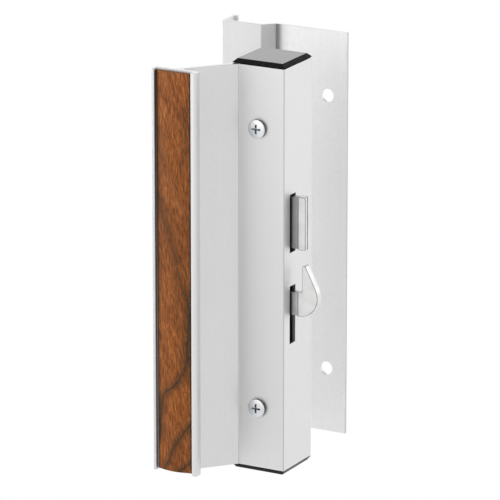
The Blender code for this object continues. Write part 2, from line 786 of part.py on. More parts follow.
def make_frame_screw(name, z, mat, root):
    """Countersunk screw, flush in the tube's rear wall and tapped into the frame."""
    head = FRAME_SCREW_HEAD / 2
    shank = FRAME_SCREW_DIAMETER / 2
    top = -0.0001
    end = FRAME_BACK - FRAME_SHEET - 0.0024
    profile = [
        (0, top),
        (head, top),
        (shank, top - (head - shank)),
        (shank, end + 0.0005),
        (shank - 0.0005, end),
        (0, end),
    ]
    made = turned(name, profile, 0, z, 24, mat, (0, top, z), root)
    combine(made, cross_recess(name + "_recess", 0, z, top, -1, 0.0034, 0.0008, 0.0011))
    return made


def main():
    clear_scene()
    satin_aluminium = material("satin_aluminium", (0.80, 0.80, 0.80), 0.42, 1.0)
    pale_aluminium = material("pale_aluminium", (0.86, 0.86, 0.86), 0.46, 1.0)
    wood = material("oiled_wood", (0.24, 0.08, 0.025), 0.5, 0.0)
    black = material("black_moulding", (0.03, 0.03, 0.03), 0.35, 0.0)
    zinc = material("zinc_plate", (0.70, 0.71, 0.73), 0.28, 1.0)
    satin = material("satin_plate", (0.72, 0.72, 0.71), 0.34, 1.0)
    steel = material("frame_steel", (0.55, 0.56, 0.57), 0.42, 1.0)
    spring_steel = material("spring_steel", (0.60, 0.60, 0.61), 0.25, 1.0)

    root = bpy.data.objects.new("handle_set", None)
    bpy.context.scene.collection.objects.link(root)

    make_extrusion(satin_aluminium, root)
    make_insert(wood, root)
    make_cap("top_end_cap", 1, black, root)
    make_cap("bottom_end_cap", -1, black, root)
    make_mounting_screw("upper_mounting_screw", SCREW_SPACING / 2, zinc, root)
    make_mounting_screw("lower_mounting_screw", -SCREW_SPACING / 2, zinc, root)
    make_pull(pale_aluminium, root)

    make_frame(steel, root)
    lever = make_lever(satin, root)
    hook = make_hook(satin, root)
    make_bar(steel, root)
    make_pin("lever_pivot_pin", LEVER_X, LEVER_Z, steel, root)
    make_pin("hook_pivot_pin", HOOK_X, HOOK_Z, steel, root)
    front = (FRAME_FRONT + FRAME_SHEET + GAP, PLATE_FRONT - GAP)
    rear = (PLATE_BACK + GAP, FRAME_BACK - FRAME_SHEET - GAP)
    make_sleeve("lever_front_spacer", LEVER_X, LEVER_Z, *front, zinc, root)
    make_sleeve("lever_rear_spacer", LEVER_X, LEVER_Z, *rear, zinc, root)
    make_sleeve("hook_front_spacer", HOOK_X, HOOK_Z, *front, zinc, root)
    make_sleeve("hook_rear_spacer", HOOK_X, HOOK_Z, *rear, zinc, root)
    make_rivet("lever_link_rivet", LEVER_RIVET_X, LEVER_RIVET_Z, steel, lever)
    make_rivet("hook_link_rivet", HOOK_RIVET_X, HOOK_RIVET_Z, steel, hook)
    make_spring(spring_steel, root)
    make_anchor(steel, root)
    make_frame_screw("upper_frame_screw", FRAME_SCREW_UP, zinc, root)
    make_frame_screw("lower_frame_screw", -FRAME_SCREW_DOWN, zinc, root)
    bpy.context.view_layer.update()


main()
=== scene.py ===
import math

import bmesh
import bpy
from mathutils import Matrix, Vector


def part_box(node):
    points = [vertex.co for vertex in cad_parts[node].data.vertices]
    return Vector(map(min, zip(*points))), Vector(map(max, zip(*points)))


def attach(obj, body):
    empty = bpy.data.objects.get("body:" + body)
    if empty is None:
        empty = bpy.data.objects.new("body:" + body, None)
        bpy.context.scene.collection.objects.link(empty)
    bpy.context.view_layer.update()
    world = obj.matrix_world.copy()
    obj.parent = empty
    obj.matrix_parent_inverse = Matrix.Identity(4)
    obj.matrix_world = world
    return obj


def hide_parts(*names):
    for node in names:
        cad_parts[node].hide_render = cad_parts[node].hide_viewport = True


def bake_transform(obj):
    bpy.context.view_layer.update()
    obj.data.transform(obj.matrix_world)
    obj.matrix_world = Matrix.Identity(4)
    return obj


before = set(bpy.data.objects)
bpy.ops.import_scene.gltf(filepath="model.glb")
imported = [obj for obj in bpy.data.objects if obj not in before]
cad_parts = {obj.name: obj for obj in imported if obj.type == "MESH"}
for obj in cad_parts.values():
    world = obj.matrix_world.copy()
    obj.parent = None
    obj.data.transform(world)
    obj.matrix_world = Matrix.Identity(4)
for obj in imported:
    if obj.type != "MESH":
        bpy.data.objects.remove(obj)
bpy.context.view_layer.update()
scene = bpy.context.scene
scene.view_settings.view_transform = "Standard"

# Camera.
# A long lens from the right, a little above, with the handle upright in a square picture.
sight = (-0.0178, 0.0, -0.0005)
camera_turn = math.radians(28.7)
camera_rise = math.radians(16.5)
camera_far = 2.050
camera_data = bpy.data.cameras.new("camera")
camera_data.lens = 338.1
camera_data.sensor_width = 36
camera_data.clip_start = 0.05
camera_data.clip_end = 20
camera = bpy.data.objects.new("camera", camera_data)
back = Vector(
    (
        math.sin(camera_turn) * math.cos(camera_rise),
        -math.cos(camera_turn) * math.cos(camera_rise),
        math.sin(camera_rise),
    )
)
camera.location = Vector(sight) + back * camera_far
camera.rotation_euler = (-back).to_track_quat("-Z", "Y").to_euler()
scene.collection.objects.link(camera)
scene.camera = camera

# Studio.
# A white room, brighter behind the handle than in front and dim overhead, with a soft box on
# the right, one on the left and one high in front. The handle hangs on its door face, with a
# pale floor some way below.
room = bpy.data.worlds.new("room")
room.use_nodes = True
scene.world = room
room_nodes = room.node_tree.nodes
room_link = room.node_tree.links.new
room_light = room_nodes["Background"]
room_light.inputs["Strength"].default_value = 1.0
room_way = room_nodes.new("ShaderNodeTexCoord")
room_axes = room_nodes.new("ShaderNodeSeparateXYZ")
room_link(room_way.outputs["Generated"], room_axes.inputs[0])
room_depth = room_nodes.new("ShaderNodeMapRange")
room_depth.inputs["From Min"].default_value = -1
room_depth.inputs["To Min"].default_value = 0.86
room_depth.inputs["To Max"].default_value = 1.0
room_link(room_axes.outputs["Y"], room_depth.inputs["Value"])
room_height = room_nodes.new("ShaderNodeValToRGB")
room_height.color_ramp.elements[0].position = 0.35
room_height.color_ramp.elements[0].color = (1, 1, 1, 1)
room_height.color_ramp.elements[1].position = 0.75
room_height.color_ramp.elements[1].color = (0.22, 0.22, 0.22, 1)
room_link(room_axes.outputs["Z"], room_height.inputs["Fac"])
room_tone = room_nodes.new("ShaderNodeMix")
room_tone.data_type = "RGBA"
room_tone.blend_type = "MULTIPLY"
room_tone.inputs[0].default_value = 1.0
room_link(room_height.outputs["Color"], room_tone.inputs[6])
room_link(room_depth.outputs["Result"], room_tone.inputs[7])
room_link(room_tone.outputs[2], room_light.inputs["Color"])
room_seen = room_nodes.new("ShaderNodeBackground")
room_seen.inputs["Color"].default_value = (1, 1, 1, 1)
room_seen.inputs["Strength"].default_value = 1.0
room_rays = room_nodes.new("ShaderNodeLightPath")
room_any = room_nodes.new("ShaderNodeMath")
room_any.operation = "MAXIMUM"
room_mix = room_nodes.new("ShaderNodeMixShader")
room_link(room_rays.outputs["Is Camera Ray"], room_any.inputs[0])
room_link(room_rays.outputs["Is Transmission Ray"], room_any.inputs[1])
room_link(room_any.outputs[0], room_mix.inputs[0])
room_link(room_light.outputs[0], room_mix.inputs[1])
room_link(room_seen.outputs[0], room_mix.inputs[2])
room_link(room_mix.outputs[0], room_nodes["World Output"].inputs["Surface"])


def soft_box(name, power, size, place, aim):
    """A square area lamp at a place, turned to a point."""
    data = bpy.data.lights.new(name, "AREA")
    data.energy = power
    data.size = size
    lamp = bpy.data.objects.new(name, data)
    lamp.location = place
    lamp.rotation_euler = (Vector(aim) - Vector(place)).to_track_quat("-Z", "Y").to_euler()
    scene.collection.objects.link(lamp)


soft_box("right_soft_box", 3.0, 0.8, (1.1, 0.75, 0.45), (0, 0, 0))
soft_box("left_soft_box", 0.6, 0.4, (-0.16, -0.6, 0.21), (0, 0, 0.05))
soft_box("high_soft_box", 1.0, 0.5, (-0.1, -0.7, 0.7), (0, 0, 0.03))
soft_box("low_side_box", 0.5, 0.25, (-0.65, -0.34, 0.0), (0, 0.04, 0))

floor_shape = bmesh.new()
bmesh.ops.create_grid(floor_shape, x_segments=1, y_segments=1, size=3.0)
bmesh.ops.translate(floor_shape, verts=floor_shape.verts, vec=(0, 0, -0.55))
floor_mesh = bpy.data.meshes.new("floor")
floor_shape.to_mesh(floor_mesh)
floor_shape.free()
floor = bpy.data.objects.new("floor", floor_mesh)
scene.collection.objects.link(floor)
floor_finish = bpy.data.materials.new("pale_floor")
floor_finish.use_nodes = True
floor_nodes = floor_finish.node_tree.nodes
floor_nodes["Principled BSDF"].inputs["Base Color"].default_value = (0.85, 0.85, 0.85, 1)
floor_nodes["Principled BSDF"].inputs["Roughness"].default_value = 0.9
floor_seen = floor_nodes.new("ShaderNodeEmission")
floor_seen.inputs["Color"].default_value = (1, 1, 1, 1)
floor_glow = floor_nodes.new("ShaderNodeEmission")
floor_place = floor_nodes.new("ShaderNodeTexCoord")
floor_axes = floor_nodes.new("ShaderNodeSeparateXYZ")
floor_depth = floor_nodes.new("ShaderNodeMapRange")
floor_depth.inputs["From Min"].default_value = -1.6
floor_depth.inputs["From Max"].default_value = 1.6
floor_depth.inputs["To Min"].default_value = 0.92
floor_depth.inputs["To Max"].default_value = 1.0
floor_rays = floor_nodes.new("ShaderNodeLightPath")
floor_any = floor_nodes.new("ShaderNodeMath")
floor_any.operation = "MAXIMUM"
floor_near = floor_nodes.new("ShaderNodeMixShader")
floor_mix = floor_nodes.new("ShaderNodeMixShader")
floor_link = floor_finish.node_tree.links.new
floor_link(floor_place.outputs["Object"], floor_axes.inputs[0])
floor_link(floor_axes.outputs["Y"], floor_depth.inputs["Value"])
floor_link(floor_depth.outputs["Result"], floor_glow.inputs["Strength"])
floor_link(floor_rays.outputs["Is Glossy Ray"], floor_near.inputs[0])
floor_link(floor_nodes["Principled BSDF"].outputs[0], floor_near.inputs[1])
floor_link(floor_glow.outputs[0], floor_near.inputs[2])
floor_link(floor_rays.outputs["Is Camera Ray"], floor_any.inputs[0])
floor_link(floor_rays.outputs["Is Transmission Ray"], floor_any.inputs[1])
floor_link(floor_any.outputs[0], floor_mix.inputs[0])
floor_link(floor_near.outputs[0], floor_mix.inputs[1])
floor_link(floor_seen.outputs[0], floor_mix.inputs[2])
floor_link(floor_mix.outputs[0], floor_nodes["Material Output"].inputs["Surface"])
floor_mesh.materials.append(floor_finish)


# Handle extrusion.
# Square tube, swept web and grip flange in one aluminium extrusion, sawn square, slotted and
# drilled, then etched and clear anodised to a satin finish.
def worked_copy(node, edge, steps=2, least=35, edge_finish=-1):
    """The solid's mesh with its triangles joined into flat faces and its edges rounded."""
    shape = bmesh.new()
    shape.from_mesh(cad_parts[node].data)
    bmesh.ops.remove_doubles(shape, verts=shape.verts, dist=2e-6)
    bmesh.ops.dissolve_limit(
        shape, angle_limit=math.radians(0.4), verts=shape.verts, edges=shape.edges
    )
    sharp = []
    for rim in shape.edges:
        if len(rim.link_faces) == 2 and rim.calc_face_angle() > math.radians(least):
            sharp.append(rim)
    bmesh.ops.bevel(
        shape,
        geom=sharp,
        offset=edge,
        offset_type="OFFSET",
        segments=steps,
        profile=0.5,
        affect="EDGES",
        clamp_overlap=False,
        material=edge_finish,
    )
    return shape


def set_piece(shape, name, body, finishes, nodes):
    """Turns the bmesh into a piece that rides on a body and stands for its solids."""
    mesh = bpy.data.meshes.new(name)
    shape.to_mesh(mesh)
    shape.free()
    mesh.shade_smooth()
    mesh.set_sharp_from_angle(angle=math.radians(40))
    for finish in finishes:
        mesh.materials.append(finish)
    piece = bpy.data.objects.new(name, mesh)
    scene.collection.objects.link(piece)
    even = piece.modifiers.new("even_normals", "WEIGHTED_NORMAL")
    even.keep_sharp = True
    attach(piece, body)
    if nodes:
        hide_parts(*nodes)


def anodised(name, colour, roughness):
    """Satin anodised aluminium: an even etched grain, faint die lines and faint clouds."""
    metal = bpy.data.materials.new(name)
    metal.use_nodes = True
    nodes = metal.node_tree.nodes
    link = metal.node_tree.links.new
    shader = nodes["Principled BSDF"]
    shader.inputs["Metallic"].default_value = 1.0
    place = nodes.new("ShaderNodeTexCoord")
    stretch = nodes.new("ShaderNodeMapping")
    stretch.inputs["Scale"].default_value = (1, 1, 0.01)
    lines = nodes.new("ShaderNodeTexNoise")
    lines.inputs["Scale"].default_value = 1500
    etch = nodes.new("ShaderNodeTexNoise")
    etch.inputs["Scale"].default_value = 1300
    cloud = nodes.new("ShaderNodeTexNoise")
    cloud.inputs["Scale"].default_value = 60
    cloud.inputs["Detail"].default_value = 3
    mixed = nodes.new("ShaderNodeMix")
    mixed.inputs[0].default_value = 0.7
    tone = nodes.new("ShaderNodeValToRGB")
    tone.color_ramp.elements[0].position = 0.3
    tone.color_ramp.elements[0].color = (*[c * 0.97 for c in colour], 1)
    tone.color_ramp.elements[1].position = 0.7
    tone.color_ramp.elements[1].color = (*[min(1, c * 1.03) for c in colour], 1)
    gloss = nodes.new("ShaderNodeMapRange")
    gloss.inputs["To Min"].default_value = roughness - 0.04
    gloss.inputs["To Max"].default_value = roughness + 0.04
    skin = nodes.new("ShaderNodeBump")
    skin.inputs["Strength"].default_value = 0.05
    skin.inputs["Distance"].default_value = 0.00003
    link(place.outputs["Object"], stretch.inputs["Vector"])
    link(stretch.outputs["Vector"], lines.inputs["Vector"])
    link(place.outputs["Object"], etch.inputs["Vector"])
    link(place.outputs["Object"], cloud.inputs["Vector"])
    link(lines.outputs["Fac"], mixed.inputs[2])
    link(etch.outputs["Fac"], mixed.inputs[3])
    link(mixed.outputs[0], tone.inputs["Fac"])
    link(tone.outputs["Color"], shader.inputs["Base Color"])
    link(cloud.outputs["Fac"], gloss.inputs["Value"])
    link(gloss.outputs["Result"], shader.inputs["Roughness"])
    link(mixed.outputs[0], skin.inputs["Height"])
    link(skin.outputs["Normal"], shader.inputs["Normal"])
    return metal


satin_aluminium = anodised("satin_aluminium", (0.79, 0.79, 0.79), 0.48)
# A darker copy of the finish, as painted shade for fine dark lines along a corner, a crease and
# an edge.
painted_shade_aluminium = anodised("painted_line_shade", (0.60, 0.60, 0.60), 0.5)
# Painted shade darkens the front of the flange's left rim, and painted light brightens the top
# faces.
rim_shade_aluminium = anodised("painted_rim_shade", (0.70, 0.70, 0.70), 0.5)
top_light_aluminium = anodised("painted_top_light", (0.90, 0.90, 0.90), 0.22)
handle_shape = worked_copy("handle_extrusion", 0.00013)
tube_low, tube_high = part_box("handle_extrusion")
wood_low, wood_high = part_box("grip_insert")
front_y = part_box("top_end_cap")[0].y
crease_x = -0.00941
corner_line, crease_line = 0.0005, 0.0004
# The near corner of the tube and the crease beside the web each get a fine dark line of painted
# shade.
for line_x, line_width in ((tube_high.x, corner_line), (crease_x, crease_line)):
    for side in (-1, 1):
        bmesh.ops.bisect_plane(
            handle_shape,
            geom=handle_shape.verts[:] + handle_shape.edges[:] + handle_shape.faces[:],
            plane_co=(line_x + side * line_width / 2, 0, 0),
            plane_no=(1, 0, 0),
            dist=1e-7,
        )
for face in handle_shape.faces:
    middle = face.calc_center_median()
    at_front = front_y - 0.0008 < middle.y < front_y + 0.0005
    at_corner = middle.x > tube_high.x - corner_line * 0.9
    at_crease = abs(middle.x - crease_x) < crease_line / 2
    if at_front and (at_corner or at_crease):
        face.material_index = 1
    # The left rim's front takes painted shade, and top faces take painted light.
    elif middle.x < wood_low.x - 0.0004 and face.normal.y < -0.5:
        face.material_index = 2
    elif face.normal.z > 0.9:
        face.material_index = 3
set_piece(
    handle_shape,
    "handle_body",
    "housing",
    [satin_aluminium, painted_shade_aluminium, rim_shade_aluminium, top_light_aluminium],
    ["handle_extrusion"],
)

# Grip insert.
# A strip of stained, straight-grained hardwood with a flat back, straight edges and a crowned
# front, pressed into the flange's channel.
wood_shape = worked_copy("grip_insert", 0.0001)
wood = bpy.data.materials.new("stained_wood")
wood.use_nodes = True
wood_nodes = wood.node_tree.nodes
wood_link = wood.node_tree.links.new
wood_shader = wood_nodes["Principled BSDF"]
wood_shader.inputs["Specular IOR Level"].default_value = 0.22
wood_place = wood_nodes.new("ShaderNodeTexCoord")
wood_axes = wood_nodes.new("ShaderNodeSeparateXYZ")
wood_link(wood_place.outputs["Object"], wood_axes.inputs[0])


def wood_math(operation, first, second=None, clamp=False):
    """A math node on two sockets or numbers."""
    node = wood_nodes.new("ShaderNodeMath")
    node.operation = operation
    node.use_clamp = clamp
    for index, value in enumerate((first, second)):
        if value is None:
            continue
        if isinstance(value, (int, float)):
            node.inputs[index].default_value = value
        else:
            wood_link(value, node.inputs[index])
    return node.outputs[0]


def grain(size, length, lean, detail=3, rough=0.55):
    """Noise drawn out along the grain, which leans a little to the right going down."""
    stretch = wood_nodes.new("ShaderNodeMapping")
    stretch.vector_type = "TEXTURE"
    stretch.inputs["Rotation"].default_value = (0, -lean, 0)
    stretch.inputs["Scale"].default_value = (1, 1, length)
    wood_link(wood_place.outputs["Object"], stretch.inputs["Vector"])
    noise = wood_nodes.new("ShaderNodeTexNoise")
    noise.inputs["Scale"].default_value = size
    noise.inputs["Detail"].default_value = detail
    noise.inputs["Roughness"].default_value = rough
    noise.inputs["Distortion"].default_value = 0.25
    wood_link(stretch.outputs["Vector"], noise.inputs["Vector"])
    return noise.outputs["Fac"]


def stepped(value, stops):
    """A colour ramp with the given stops."""
    ramp = wood_nodes.new("ShaderNodeValToRGB")
    first, last = ramp.color_ramp.elements
    first.position, first.color = stops[0][0], (*stops[0][1], 1)
    last.position, last.color = stops[-1][0], (*stops[-1][1], 1)
    for position, colour in stops[1:-1]:
        ramp.color_ramp.elements.new(position).color = (*colour, 1)
    wood_link(value, ramp.inputs["Fac"])
    return ramp.outputs["Color"]


def tinted(first, second, blend="MULTIPLY", amount=1.0):
    """Mixes two colours, by an amount or by a mask's socket."""
    node = wood_nodes.new("ShaderNodeMix")
    node.data_type = "RGBA"
    node.blend_type = blend
    if isinstance(amount, float):
        node.inputs[0].default_value = amount
    else:
        wood_link(amount, node.inputs[0])
    wood_link(first, node.inputs[6])
    if isinstance(second, tuple):
        node.inputs[7].default_value = (*second, 1)
    else:
        wood_link(second, node.inputs[7])
    return node.outputs[2]


# The figure is fine fibre with specks and slanting bands, under soft clouds and dark pores.
fibre = grain(1900, 7, 0.10)
speck = grain(3000, 4, 0.16, 2)
band = grain(330, 5, 0.42, 2)
cloudy = grain(90, 2.5, 0.3, 2)
figure = wood_math("MULTIPLY", fibre, 0.56)
for streaks, share in ((speck, 0.20), (band, 0.24)):
    figure = wood_math("ADD", figure, wood_math("MULTIPLY", streaks, share))
wood_tone = stepped(
    figure,
    [
        (0.37, (0.146, 0.043, 0.008)),
        (0.47, (0.272, 0.083, 0.017)),
        (0.53, (0.356, 0.111, 0.025)),
        (0.63, (0.520, 0.186, 0.056)),
    ],
)
cloud_tint = stepped(cloudy, [(0.35, (0.90, 0.89, 0.93)), (0.65, (1.10, 1.10, 1.02))])
wood_tone = tinted(wood_tone, cloud_tint)
pores = stepped(grain(2100, 6, 0.12, 2), [(0.58, (0, 0, 0)), (0.66, (1, 1, 1))])
wood_tone = tinted(wood_tone, (0.72, 0.69, 0.67), "MULTIPLY", pores)
wander = grain(190, 2.5, 0.2)
ragged = wood_math("MULTIPLY", wood_math("SUBTRACT", wander, 0.5), 0.22)
across = wood_math("SUBTRACT", wood_axes.outputs["X"], wood_low.x)
across = wood_math("DIVIDE", across, wood_high.x - wood_low.x)
across = wood_math("ADD", across, ragged)


def vein(points, width):
    """Dark growth line through points, which fades out at both ends.

    A point is a height in millimetres and a place across the strip, from 0 to 1.
    """
    low, high = points[0][0] / 1000, points[-1][0] / 1000
    share = wood_math("DIVIDE", wood_math("SUBTRACT", wood_axes.outputs["Z"], low), high - low)
    bend = wood_nodes.new("ShaderNodeFloatCurve")
    line = bend.mapping.curves[0]
    bend.mapping.use_clip = False
    spots = [((height / 1000 - low) / (high - low), place) for height, place in points]
    line.points[0].location = spots[0]
    line.points[1].location = spots[-1]
    for spot in spots[1:-1]:
        line.points.new(*spot)
    bend.mapping.update()
    wood_link(wood_math("ADD", share, 0, True), bend.inputs["Value"])
    off = wood_math("ABSOLUTE", wood_math("SUBTRACT", across, bend.outputs[0]))
    halo_width, halo_share, end_fade = 2.6, 0.7, 14.0
    core = wood_math("SUBTRACT", 1.0, wood_math("DIVIDE", off, width), True)
    halo = wood_math("SUBTRACT", 1.0, wood_math("DIVIDE", off, width * halo_width), True)
    both = wood_math("MAXIMUM", core, wood_math("MULTIPLY", halo, halo_share))
    rest = wood_math("SUBTRACT", 1.0, share)
    ends = wood_math("MULTIPLY", wood_math("MULTIPLY", share, rest), end_fade, True)
    return wood_math("MULTIPLY", both, ends)


lower_line = [(-80, -0.06), (-70.6, 0.02), (-62.1, 0.08), (-53.5, 0.28), (-50.8, 0.54),
              (-46.3, 0.71), (-42.3, 0.83), (-37.8, 0.89), (-30.6, 0.94), (-15.7, 0.93),
              (-2, 0.72)]
upper_line = [(-46, 0.72), (-38, 0.89), (-31, 0.94), (-16, 0.93), (-9, 0.81), (0, 0.68),
              (9, 0.56), (13, 0.47), (20, 0.36), (25, 0.24), (34, 0.06), (42, -0.1)]
veins = vein(lower_line, 0.1)
for points, width, share in (
    (upper_line, 0.13, 0.62),
    ([(18, 1.0), (33, 0.70), (47, 0.35), (60, 0.02), (74, -0.12)], 0.12, 0.35),
    ([(-95, -0.02), (-87.3, 0.26), (-77.3, 0.56), (-71, 0.82), (-64, 1.15)], 0.08, 1.0),
    ([(-98, 0.0), (-89.1, 0.66), (-84.1, 1.0), (-78, 1.4)], 0.09, 1.0),
    ([(2, 1.05), (14, 0.78), (27, 0.44), (40, 0.02), (52, -0.15)], 0.10, 0.30),
    ([(44, 0.74), (60, 0.86), (76, 0.8)], 0.08, 0.35),
    ([(-50, 0.86), (-28, 0.74), (-4, 0.52)], 0.06, 0.35),
):
    veins = wood_math("MAXIMUM", veins, wood_math("MULTIPLY", vein(points, width), share))
# The specks break the growth lines up.
broken = wood_math("MULTIPLY", wood_math("SUBTRACT", speck, 0.42), 3.0)
broken = wood_math("ADD", broken, 0.78)
vein_mask = wood_math("MULTIPLY", veins, broken, True)
wood_tone = tinted(wood_tone, (0.060, 0.034, 0.014), "MIX", vein_mask)
wood_link(wood_tone, wood_shader.inputs["Base Color"])
wood_gloss = wood_nodes.new("ShaderNodeMapRange")
wood_gloss.inputs["To Min"].default_value = 0.62
wood_gloss.inputs["To Max"].default_value = 0.42
wood_link(figure, wood_gloss.inputs["Value"])
wood_link(wood_gloss.outputs["Result"], wood_shader.inputs["Roughness"])
wood_skin = wood_nodes.new("ShaderNodeBump")
wood_skin.inputs["Strength"].default_value = 0.5
wood_skin.inputs["Distance"].default_value = 0.00008
wood_link(figure, wood_skin.inputs["Height"])
wood_link(wood_skin.outputs["Normal"], wood_shader.inputs["Normal"])
set_piece(wood_shape, "wood_strip", "housing", [wood], ["grip_insert"])

# End caps.
# Black moulded plugs pressed into the tube's ends, with bevelled edges and a flat, fine-grained
# top.
moulding = bpy.data.materials.new("black_moulding")
moulding.use_nodes = True
cap_nodes = moulding.node_tree.nodes
cap_link = moulding.node_tree.links.new
cap_shader = cap_nodes["Principled BSDF"]
cap_shader.inputs["IOR"].default_value = 1.6
cap_shader.inputs["Coat Weight"].default_value = 1.0
cap_shader.inputs["Coat Roughness"].default_value = 0.22
cap_place = cap_nodes.new("ShaderNodeTexCoord")
cap_grain = cap_nodes.new("ShaderNodeTexNoise")
cap_grain.inputs["Scale"].default_value = 1800
cap_tone = cap_nodes.new("ShaderNodeValToRGB")
cap_tone.color_ramp.elements[0].position = 0.35
cap_tone.color_ramp.elements[0].color = (0.012, 0.012, 0.013, 1)
cap_tone.color_ramp.elements[1].position = 0.7
cap_tone.color_ramp.elements[1].color = (0.026, 0.026, 0.027, 1)
cap_gloss = cap_nodes.new("ShaderNodeMapRange")
cap_gloss.inputs["To Min"].default_value = 0.2
cap_gloss.inputs["To Max"].default_value = 0.32
cap_skin = cap_nodes.new("ShaderNodeBump")
cap_skin.inputs["Strength"].default_value = 0.2
cap_skin.inputs["Distance"].default_value = 0.00005
cap_link(cap_place.outputs["Object"], cap_grain.inputs["Vector"])
cap_link(cap_grain.outputs["Fac"], cap_tone.inputs["Fac"])
cap_link(cap_tone.outputs["Color"], cap_shader.inputs["Base Color"])
cap_link(cap_grain.outputs["Fac"], cap_gloss.inputs["Value"])
cap_link(cap_gloss.outputs["Result"], cap_shader.inputs["Roughness"])
cap_link(cap_grain.outputs["Fac"], cap_skin.inputs["Height"])
cap_link(cap_skin.outputs["Normal"], cap_shader.inputs["Normal"])
dull_moulding = moulding.copy()
dull_moulding.name = "dull_moulding"
dull_shader = dull_moulding.node_tree.nodes["Principled BSDF"]
dull_shader.inputs["IOR"].default_value = 1.35
dull_shader.inputs["Coat Weight"].default_value = 0.0
dull_shader.inputs["Specular IOR Level"].default_value = 0.1
cap_rim, cap_flare = 0.0003, 0.0006
for cap_name, cap_node in (("top_cap", "top_end_cap"), ("bottom_cap", "bottom_end_cap")):
    cap_shape = worked_copy(cap_node, 0.00012, least=25)
    cap_low, cap_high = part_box(cap_node)
    # The bottom cap's lower face is a little larger, so its bevels are steeper.
    if cap_name == "bottom_cap":
        for spot in cap_shape.verts:
            if spot.co.z < cap_low.z + cap_rim:
                spot.co.x += math.copysign(cap_flare, spot.co.x)
                spot.co.y += math.copysign(cap_flare, spot.co.y - (cap_low.y + cap_high.y) / 2)
    for face in cap_shape.faces:
        face.material_index = 0 if face.normal.z > 0.9 else 1
    set_piece(
        cap_shape, cap_name, "housing", [moulding, dull_moulding], [cap_node]
    )

# Shade strips.
# Two thin black strips of the same moulding, set into the joints between the wood and the
# rims of the channel, a little below the rims, as painted shade in the joints.
def paint_shade_along(finish, low, high, stops, axis="X"):
    """Paints shade into a finish's colour along an axis, from low to high in millimetres.

    A stop is a place in millimetres and the share of the colour left there. The first two
    stops are the ends.
    """
    nodes = finish.node_tree.nodes
    link = finish.node_tree.links.new
    base = nodes["Principled BSDF"].inputs["Base Color"]
    before = base.links[0].from_socket
    place = nodes.new("ShaderNodeTexCoord")
    axes = nodes.new("ShaderNodeSeparateXYZ")
    reach = nodes.new("ShaderNodeMapRange")
    reach.inputs["From Min"].default_value = low / 1000
    reach.inputs["From Max"].default_value = high / 1000
    ramp = nodes.new("ShaderNodeValToRGB")
    for spot, (along, share) in enumerate(stops):
        position = (along - low) / (high - low)
        if spot < 2:
            stop = ramp.color_ramp.elements[spot]
            stop.position = position
        else:
            stop = ramp.color_ramp.elements.new(position)
        stop.color = (share, share, share, 1)
    mixed = nodes.new("ShaderNodeMix")
    mixed.data_type = "RGBA"
    mixed.blend_type = "MULTIPLY"
    mixed.inputs[0].default_value = 1.0
    link(place.outputs["Object"], axes.inputs[0])
    link(axes.outputs[axis], reach.inputs["Value"])
    link(reach.outputs["Result"], ramp.inputs["Fac"])
    link(before, mixed.inputs[6])
    link(ramp.outputs["Color"], mixed.inputs[7])
    link(mixed.outputs[2], base)


# The left strip is greyer than the right one and pales toward its foot: painted light low down,
# painted shade high up.
gap_light_and_shade = dull_moulding.copy()
gap_light_and_shade.name = "gap_light_and_shade"
gap_shade_ramp = gap_light_and_shade.node_tree.nodes[cap_tone.name].color_ramp.elements
gap_shade_ramp[0].color = (0.24, 0.25, 0.27, 1)
gap_shade_ramp[1].color = (0.28, 0.29, 0.31, 1)
paint_shade_along(gap_light_and_shade, -90, 90, [(-90, 1.0), (90, 0.22), (0, 0.55)], "Z")
shade_strip_depth, shade_strip_sunk, shade_strip_short = 0.0019, 0.0018, 0.0002
# Each strip is a dark sheet put in a joint as painted shade.
for shade_strip_name, shade_strip_left, shade_strip_right, shade_strip_finish in (
    ("left_shade_strip", wood_low.x - 0.00045, wood_low.x, gap_light_and_shade),
    ("right_shade_strip", wood_high.x - 0.0002, wood_high.x + 0.0004, dull_moulding),
):
    shade_strip_shape = bmesh.new()
    bmesh.ops.create_cube(shade_strip_shape, size=1)
    bmesh.ops.scale(
        shade_strip_shape,
        verts=shade_strip_shape.verts,
        vec=(shade_strip_right - shade_strip_left, shade_strip_depth, wood_high.z - wood_low.z - shade_strip_short),
    )
    bmesh.ops.translate(
        shade_strip_shape,
        verts=shade_strip_shape.verts,
        vec=((shade_strip_left + shade_strip_right) / 2, tube_low.y + shade_strip_sunk, 0),
    )
    bmesh.ops.bevel(
        shade_strip_shape,
        geom=shade_strip_shape.edges[:],
        offset=0.00012,
        offset_type="OFFSET",
        segments=2,
        profile=0.5,
        affect="EDGES",
        material=-1,
    )
    set_piece(shade_strip_shape, shade_strip_name, "housing", [shade_strip_finish], [])

# Outside pull.
# A formed aluminium plate with a step, a recessed finger panel, a lip and a return, in the same
# satin finish, a little lighter.
pale_aluminium = anodised("pale_aluminium", (0.80, 0.80, 0.80), 0.5)
# The front faces are a lighter, rougher copy: painted light right of the fold, painted shade in
# it.
pull_front_light_and_shade = anodised("pull_front_light_and_shade", (0.96, 0.96, 0.96), 0.68)
fold_shade = [(-50, 0.84), (10, 1.0), (-31, 0.84), (-30.2, 0.72), (-25.9, 0.68),
              (-25.4, 0.27), (-24.2, 0.36), (-23.2, 0.66), (-22, 0.88), (-19, 0.98)]
paint_shade_along(pull_front_light_and_shade, -50, 10, fold_shade)
pull_shape = worked_copy("outside_pull", 0.00012)
for face in pull_shape.faces:
    # Front faces take the painted light and painted shade.
    if face.normal.y < -0.3:
        face.material_index = 1
    # The pull's right edge face takes painted shade.
    elif face.normal.x > 0.5 and face.calc_center_median().x > 0:
        face.material_index = 2
    # Top faces take painted light.
    elif face.normal.z > 0.9:
        face.material_index = 3
set_piece(
    pull_shape,
    "pull_plate",
    "housing",
    [pale_aluminium, pull_front_light_and_shade, painted_shade_aluminium, top_light_aluminium],
    ["outside_pull"],
)


